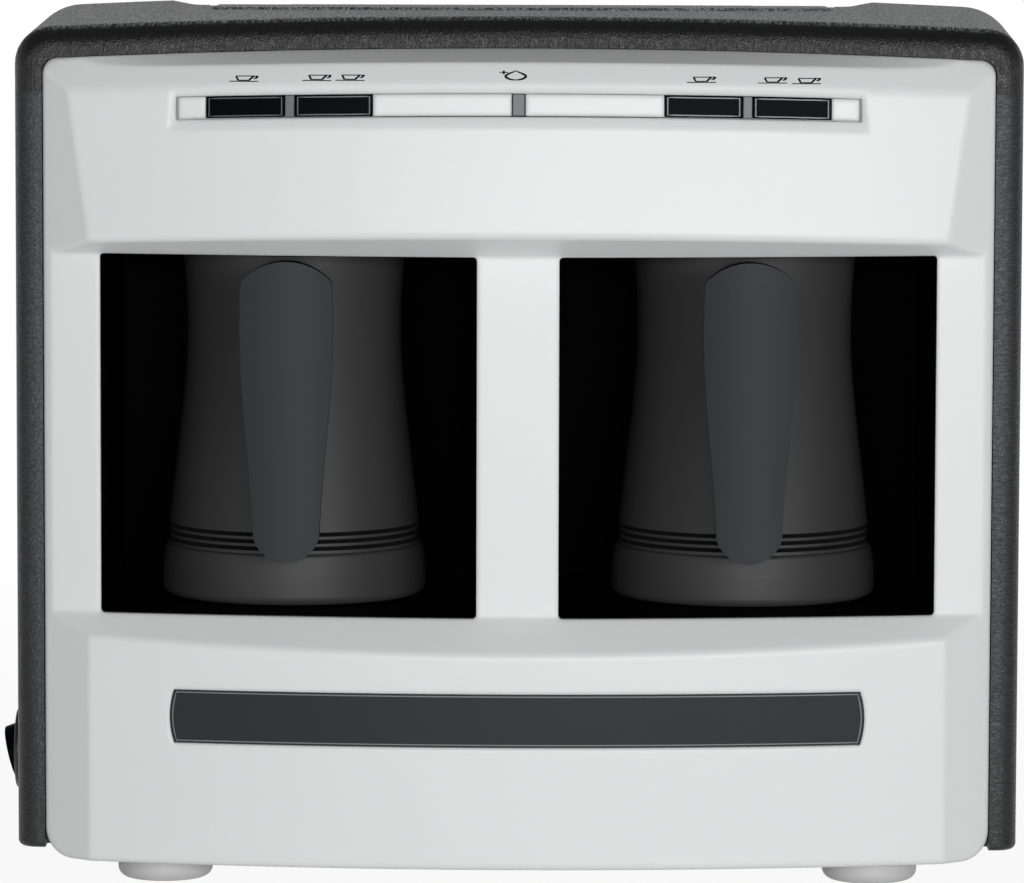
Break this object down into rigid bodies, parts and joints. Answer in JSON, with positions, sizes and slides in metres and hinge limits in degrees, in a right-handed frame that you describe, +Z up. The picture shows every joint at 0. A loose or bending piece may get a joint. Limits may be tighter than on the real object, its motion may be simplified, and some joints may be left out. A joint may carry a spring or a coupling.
{
  "type": "coffee machine",
  "caption": "Counter-top coffee machine with twin lift-out brewing pots in windowed bays, a push-button strip and a rear water tank.",
  "frame": {"origin": "on the table under the middle of the machine", "axes": "+Z up, the front faces -Y, +X to the right as seen from the front"},
  "size_m": [0.3216, 0.218, 0.261],
  "materials": {
    "hood_plastic": "leather-grain matte",
    "panel_plastic": "satin white",
    "band_plastic": "satin dark grey",
    "led_window": "grey diffusing",
    "white_inner_plastic": "plain",
    "circuit_board": "solder mask",
    "black_plastic": "plain black",
    "screw_steel": "zinc plated",
    "tank_plastic": "smoky transparent",
    "lid_plastic": "fine grain",
    "pump_plastic": "plain",
    "hose_rubber": "milky silicone",
    "component_plastic": "plain",
    "button_plastic": "gloss black",
    "foot_plastic": "pale grey",
    "bay_plastic": "plain black",
    "sensor_plastic": "dark infrared window",
    "pot_metal": "satin black coating",
    "pot_base_plastic": "satin black",
    "heater_metal": "cast",
    "handle_core_plastic": "plain black",
    "handle_plastic": "fine grain slate grey"
  },
  "bodies": {
    "casing": {"base_plate": "black_plastic", "bay_liner_left": "bay_plastic", "bay_liner_right": "bay_plastic", "board_parts": "component_plastic", "button_carrier": "white_inner_plastic", "casing_screws": "screw_steel", "connector_socket_left": "black_plastic", "connector_socket_right": "black_plastic", "control_board": "circuit_board", "cord_gland": "black_plastic", "foot_back_left": "foot_plastic", "foot_back_right": "foot_plastic", "foot_front_left": "foot_plastic", "foot_front_right": "foot_plastic", "front_panel": "panel_plastic", "hood_shell": "hood_plastic", "hose_tee": "white_inner_plastic", "led_windows": "led_window", "level_sensor_left": "sensor_plastic", "level_sensor_right": "sensor_plastic", "name_band": "band_plastic", "power_board": "circuit_board", "pump_inlet_hose": "hose_rubber", "rear_panel": "hood_plastic", "riser_hose": "hose_rubber", "spout_hoses": "hose_rubber", "spout_left": "white_inner_plastic", "spout_right": "white_inner_plastic", "strip_bars": "panel_plastic", "strip_end_caps": "panel_plastic", "switch_body": "black_plastic", "tank_cradle": "black_plastic", "water_pump": "pump_plastic"},
    "pot_left": {"pot_body_left": "pot_metal", "pot_base_left": "pot_base_plastic", "pot_heater_left": "heater_metal", "pot_plug_left": "black_plastic", "handle_core_left": "handle_core_plastic", "handle_grip_left": "handle_plastic"},
    "pot_right": {"pot_body_right": "pot_metal", "pot_base_right": "pot_base_plastic", "pot_heater_right": "heater_metal", "pot_plug_right": "black_plastic", "handle_core_right": "handle_core_plastic", "handle_grip_right": "handle_plastic"},
    "key_outer_left": {"button_outer_left": "button_plastic"},
    "key_inner_left": {"button_inner_left": "button_plastic"},
    "key_inner_right": {"button_inner_right": "button_plastic"},
    "key_outer_right": {"button_outer_right": "button_plastic"},
    "rocker": {"switch_rocker": "button_plastic"},
    "tank": {"tank_body": "tank_plastic", "lid_hinge_pin": "screw_steel", "tank_valve_body": "white_inner_plastic", "tank_valve_spring": "screw_steel"},
    "lid": {"tank_lid": "lid_plastic"},
    "valve": {"tank_valve_plunger": "white_inner_plastic"}
  },
  "joints": [
    {"name": "pot_left_slide", "type": "slide", "parent": "casing", "child": "pot_left", "axis": [0, -1, 0], "range_m": [0, 0.15]},
    {"name": "pot_right_slide", "type": "slide", "parent": "casing", "child": "pot_right", "axis": [0, -1, 0], "range_m": [0, 0.15]},
    {"name": "key_outer_left_press", "type": "slide", "parent": "casing", "child": "key_outer_left", "axis": [0, 1, 0], "range_m": [0, 0.0012], "stiffness_N_per_m": 900},
    {"name": "key_inner_left_press", "type": "slide", "parent": "casing", "child": "key_inner_left", "axis": [0, 1, 0], "range_m": [0, 0.0012], "stiffness_N_per_m": 900},
    {"name": "key_inner_right_press", "type": "slide", "parent": "casing", "child": "key_inner_right", "axis": [0, 1, 0], "range_m": [0, 0.0012], "stiffness_N_per_m": 900},
    {"name": "key_outer_right_press", "type": "slide", "parent": "casing", "child": "key_outer_right", "axis": [0, 1, 0], "range_m": [0, 0.0012], "stiffness_N_per_m": 900},
    {"name": "rocker_tilt", "type": "hinge", "parent": "casing", "child": "rocker", "pos_m": [-0.14687, -0.057, 0.0392], "axis": [0, 1, 0], "range_deg": [0, 27.2]},
    {"name": "tank_lift", "type": "slide", "parent": "casing", "child": "tank", "axis": [0, 0, 1], "range_m": [0, 0.22]},
    {"name": "lid_hinge", "type": "hinge", "parent": "tank", "child": "lid", "pos_m": [0, 0.1038, 0.257], "axis": [-1, 0, 0], "range_deg": [0, 100]},
    {"name": "valve_plunger_slide", "type": "slide", "parent": "tank", "child": "valve", "axis": [0, 0, 1], "range_m": [0, 0.003], "stiffness_N_per_m": 250, "deforming": ["tank_valve_spring"]}
  ]
}
